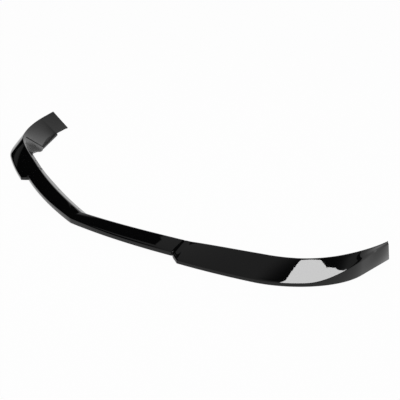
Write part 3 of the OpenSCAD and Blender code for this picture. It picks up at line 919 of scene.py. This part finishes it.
class LIP_OT_side_webs(bpy.types.Operator):
    """Build the ribs and the screw bosses under the side blades"""

    bl_idname = "lip.side_webs"
    bl_label = "Side Ribs and Bosses"

    def execute(self, context):
        lines, finish = lip_settings(context)
        moulding = bare_moulding(finish)
        for name, mirror in SIDES:
            for title, build in (("side_ribs_", self.ribs), ("screw_bosses_", self.bosses)):
                data = smooth_mesh(title + name, build(lines, mirror), WEB_SHARP)
                new_piece(data, [name + "_side_lip"], [moulding])
        return {"FINISHED"}

    def ribs(self, lines, mirror):
        bm = bmesh.new()
        low = lines.rib_lift
        for t in RIB_STAGES:
            row, along = lines.side(t)
            rib_body(bm, lines, row, along, low, row[3].z, mirror)
        for t in (lines.GUSSET_END - lines.AIM, *PANEL_RIB_STAGES):
            rib_body(bm, lines, *lines.side(t), low, low, mirror)
        return bm

    def bosses(self, lines, mirror):
        """Tubes that end inside the sloping wall above them, closed above their holes"""
        bm = bmesh.new()
        row, along = lines.side(lines.screw_stage())
        wall = sunk(row, along, lines.skin / 2.0)
        n = face_normals(row, along)[1]
        low = lines.tab_z + lines.skin + lines.fit_gap
        bore, outer = lines.screw_d / 2.0 + lines.fit_gap, lines.boss_d / 2.0
        blind = low + SCREW_LENGTH - lines.skin + BLIND_SPARE
        mouth = low + BOSS_CHAMFER
        rims = (
            (0.0, blind), (bore, blind), (bore, mouth), (bore + BOSS_CHAMFER, low),
            (outer - BOSS_CHAMFER, low), (outer, mouth), (outer, None),
        )

        def rim_point(place, radius, height, share):
            a = 2.0 * math.pi * share
            x, y = place.x + radius * math.cos(a), place.y + radius * math.sin(a)
            roof = wall[1].z - (n.x * (x - wall[1].x) + n.y * (y - wall[1].y)) / n.z
            return bm.verts.new(placed(lines, Vector((x, y, roof if height is None else height)), mirror))

        for place in lines.screw_places():
            rings = []
            for radius, height in rims:
                sides = BOSS_SIDES if radius else 1
                rings.append([rim_point(place, radius, height, i / BOSS_SIDES) for i in range(sides)])
            for a, b in zip(rings, rings[1:]):
                for i in range(BOSS_SIDES):
                    j = (i + 1) % BOSS_SIDES
                    if len(a) == 1:
                        bm.faces.new((a[0], b[i], b[j]))
                    else:
                        bm.faces.new((a[i], b[i], b[j], a[j]))
            bm.faces.new(rings[-1])
        return bm


class LIP_OT_ledges(bpy.types.Operator):
    """Build the ledges with their rims along the feet of the inner panels"""

    bl_idname = "lip.ledges"
    bl_label = "Ledges"

    def execute(self, context):
        lines, finish = lip_settings(context)
        front = lines.gusset_corner.to_2d()
        rear = Vector((lines.half_width - lines.notch_w, lines.overall_depth - lines.notch_back))
        along = (rear - front).normalized()
        out = Vector((along.y, -along.x))
        foot = []
        for i in range(LEDGE_STEPS + 1):
            t = mix(lines.GUSSET_END, lines.NOTCH, i / LEDGE_STEPS)
            foot.append(lines.panel_foot(t).to_2d() + LEDGE_UNDER * lines.skin * out)
        outline = foot + [rear, front]
        rim = [front, rear, rear + lines.skin * out, front + lines.skin * out]
        spots = []
        for k in LEDGE_HOLE_SHARES:
            spot = mix(front, rear, k) + LEDGE_HOLE_IN * out
            middle = Vector((spot.x, spot.y, lines.ledge_z - lines.skin / 2.0))
            spots.append((middle, up(1.0), lines.ledge_hole_d, LEDGE_CUT * lines.skin))
        for name, mirror in SIDES:
            bm = bmesh.new()
            prism(bm, lines, [tuple(p) for p in outline], lines.ledge_z - lines.skin, lines.ledge_z, mirror)
            prism(bm, lines, [tuple(p) for p in rim], 0.0, lines.ledge_z - RIM_GAP, mirror)
            data = smooth_mesh("ledge_" + name, bm, WEB_SHARP)
            plate = new_piece(data, [name + "_side_lip"], [gloss_paint(finish)])
            drill(plate, spots, lines, mirror)
        return {"FINISHED"}


class LIP_OT_screws(bpy.types.Operator):
    """Give the joint screws their zinc-plated steel"""

    bl_idname = "lip.screws"
    bl_label = "Joint Screws"

    def execute(self, context):
        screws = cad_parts.get("joint_screws")
        if screws is None:
            raise RuntimeError("The frame has no joint_screws node")
        finish = zinc_plate(context.scene.lip_finish)
        if not screws.material_slots:
            raise RuntimeError("The joint_screws node has no material slot")
        for place in screws.material_slots:
            place.material = finish
        return {"FINISHED"}


def floor_finish(tone):
    """Pale floor, nearly white where the camera or a reflection sees it, that still takes a soft shadow"""
    material = bpy.data.materials.new("studio_floor")
    material.use_nodes = True
    tree = material.node_tree
    tree.nodes.clear()
    link = tree.links.new
    out = node(tree, "ShaderNodeOutputMaterial")
    matt = node(tree, "ShaderNodeBsdfDiffuse")
    matt.inputs["Color"].default_value = tuple(tone) + (1.0,)
    glow = node(tree, "ShaderNodeEmission")
    glow.inputs["Strength"].default_value = 1.0
    blend = node(tree, "ShaderNodeMixShader")
    rays = node(tree, "ShaderNodeLightPath").outputs
    kinds = [rays["Is %s Ray" % kind] for kind in ("Camera", "Glossy", "Transmission")]
    seen = combined(tree, "MAXIMUM", *kinds)
    link(combined(tree, "MULTIPLY", seen, FLOOR_WHITE), blend.inputs["Fac"])
    link(matt.outputs["BSDF"], blend.inputs[1])
    link(glow.outputs["Emission"], blend.inputs[2])
    link(blend.outputs["Shader"], out.inputs["Surface"])
    return material


def direction(azimuth, elevation):
    """Unit vector toward a direction in degrees, with azimuth 0 along X"""
    a, e = math.radians(azimuth), math.radians(elevation)
    return Vector((math.cos(e) * math.cos(a), math.cos(e) * math.sin(a), math.sin(e)))


def zone(tree, place, azimuth, elevation, inner, outer, near, far):
    """Round patch of the studio: one value inside the inner angle that blends to another at the outer one"""
    lean = node(tree, "ShaderNodeVectorMath", operation="DOT_PRODUCT")
    lean.inputs[1].default_value = direction(azimuth, elevation)
    span = node(tree, "ShaderNodeMapRange", interpolation_type="SMOOTHSTEP")
    span.inputs["From Min"].default_value = math.cos(math.radians(outer))
    span.inputs["From Max"].default_value = math.cos(math.radians(inner))
    span.inputs["To Min"].default_value = far
    span.inputs["To Max"].default_value = near
    tree.links.new(place.outputs["Generated"], lean.inputs[0])
    tree.links.new(lean.outputs["Value"], span.inputs["Value"])
    return span.outputs["Result"]


def studio_world():
    """White for the camera. Reflections see a white wall behind the lip and a grey room, with a faint glow
    and with dark areas in which the top faces mirror themselves black"""
    world = bpy.data.worlds.new("studio")
    bpy.context.scene.world = world
    world.use_nodes = True
    tree = world.node_tree
    tree.nodes.clear()
    link = tree.links.new
    out = node(tree, "ShaderNodeOutputWorld")
    room = node(tree, "ShaderNodeBackground")
    white = node(tree, "ShaderNodeBackground")
    for surface in (room, white):
        surface.inputs["Color"].default_value = (1.0, 1.0, 1.0, 1.0)
    blend = node(tree, "ShaderNodeMixShader")
    rays = node(tree, "ShaderNodeLightPath").outputs
    place = node(tree, "ShaderNodeTexCoord")
    wall = zone(tree, place, *WALL_ZONE)
    darks = [zone(tree, place, *values) for values in DARK_ZONES]
    level = combined(tree, "MULTIPLY", *darks, ROOM_LEVEL)
    strength = combined(tree, "MAXIMUM", level, zone(tree, place, *GLOW_ZONE), wall)
    bounce = combined(tree, "MAXIMUM", rays["Is Glossy Ray"], rays["Is Transmission Ray"])
    mirrored = combined(tree, "MULTIPLY", bounce, wall)
    link(strength, room.inputs["Strength"])
    link(combined(tree, "MAXIMUM", rays["Is Camera Ray"], mirrored), blend.inputs["Fac"])
    link(room.outputs["Background"], blend.inputs[1])
    link(white.outputs["Background"], blend.inputs[2])
    link(blend.outputs["Shader"], out.inputs["Surface"])


def glow_finish(name, strength):
    """Plain light of one strength, none for a black card"""
    material = bpy.data.materials.new(name)
    material.use_nodes = True
    tree = material.node_tree
    tree.nodes.clear()
    out = node(tree, "ShaderNodeOutputMaterial")
    glow = node(tree, "ShaderNodeEmission")
    glow.inputs["Strength"].default_value = strength
    tree.links.new(glow.outputs["Emission"], out.inputs["Surface"])
    return material


class LIP_OT_stage(bpy.types.Operator):
    """Set the camera, the lights, the studio and the pale floor"""

    bl_idname = "lip.stage"
    bl_label = "Stage"

    def execute(self, context):
        scene = context.scene
        scene.view_settings.view_transform = "Standard"
        self.camera(scene)
        studio_world()
        self.lamp()
        self.softbox()
        self.card()
        self.floor(scene.lip_finish.floor)
        return {"FINISHED"}

    def camera(self, scene):
        """Camera at the viewing angle of the photo"""
        data = bpy.data.cameras.new("camera")
        data.lens = LENS
        data.sensor_width = SENSOR
        data.clip_start, data.clip_end = CLIP
        eye = linked(data)
        eye.location = CAMERA_PLACE * MM
        eye.rotation_euler = (math.radians(90.0 - CAMERA_DOWN), 0.0, math.radians(CAMERA_ROUND))
        scene.camera = eye

    def lamp(self):
        """Rectangular soft lamp overhead, which no reflection shows"""
        data = bpy.data.lights.new("overhead", "AREA")
        data.shape = "RECTANGLE"
        data.size = data.size_y = LAMP_SIDE
        data.energy = LAMP_WATTS
        lamp = linked(data)
        lamp.visible_glossy = False
        way = direction(*LAMP_WAY)
        lamp.location = way * LAMP_DISTANCE
        lamp.rotation_euler = way.to_track_quat("Z", "Y").to_euler()

    def screen(self, name, points, strength):
        """Flat screen that only reflections show"""
        bm = bmesh.new()
        bm.faces.new([bm.verts.new(p) for p in points])
        screen = linked(flat_mesh(name, bm))
        screen.data.materials.append(glow_finish(name, strength))
        screen.visible_diffuse = False
        screen.visible_camera = False
        return screen

    def softbox(self):
        """Large bright screen whose sloping upper edge shows in the near corner's top face"""
        way = direction(*SOFTBOX_WAY)
        side = Vector((-way.y, way.x, 0.0)).normalized()
        rise = way.cross(side)
        middle = SOFTBOX_AIM + way * SOFTBOX_DISTANCE
        self.screen("softbox", [middle + side * u + rise * v for u, v in SOFTBOX_OUTLINE], SOFTBOX_STRENGTH)

    def card(self):
        """Black card over the far half, which the middle of the lip mirrors"""
        card = self.screen("black_card", [(x, y, CARD_HEIGHT) for x, y in CARD_OUTLINE], 0.0)
        card.visible_shadow = False

    def floor(self, tone):
        bm = bmesh.new()
        bmesh.ops.create_grid(bm, x_segments=1, y_segments=1, size=FLOOR_SIZE)
        ground = linked(flat_mesh("studio_floor", bm))
        ground.data.materials.append(floor_finish(tone))
        ground.location.z = FLOOR_Z


class LIP_PT_panel(bpy.types.Panel):
    """Lists the lip's sizes, finish and pieces"""

    bl_label = "Splitter Lip"
    bl_idname = "LIP_PT_panel"
    bl_space_type = "VIEW_3D"
    bl_region_type = "UI"
    bl_category = "Splitter Lip"

    def draw(self, context):
        layout = self.layout
        for group, label in ((context.scene.lip_sizes, "Sizes"), (context.scene.lip_finish, "Finish")):
            box = layout.box()
            box.label(text=label)
            for name in type(group).__annotations__:
                box.prop(group, name)
        for step in STEPS:
            layout.operator("lip." + step)


STEPS = ("centre_shell", "centre_webs", "side_shells", "side_webs", "ledges", "screws", "stage")
CLASSES = (
    LipSizes,
    LipFinish,
    LIP_OT_centre_shell,
    LIP_OT_centre_webs,
    LIP_OT_side_shells,
    LIP_OT_side_webs,
    LIP_OT_ledges,
    LIP_OT_screws,
    LIP_OT_stage,
    LIP_PT_panel,
)


def register():
    for item in CLASSES:
        bpy.utils.register_class(item)
    bpy.types.Scene.lip_sizes = bpy.props.PointerProperty(type=LipSizes)
    bpy.types.Scene.lip_finish = bpy.props.PointerProperty(type=LipFinish)


def unregister():
    del bpy.types.Scene.lip_finish
    del bpy.types.Scene.lip_sizes
    for item in reversed(CLASSES):
        bpy.utils.unregister_class(item)


def main():
    register()
    for step in STEPS:
        getattr(bpy.ops.lip, step)()


if __name__ == "__main__":
    main()
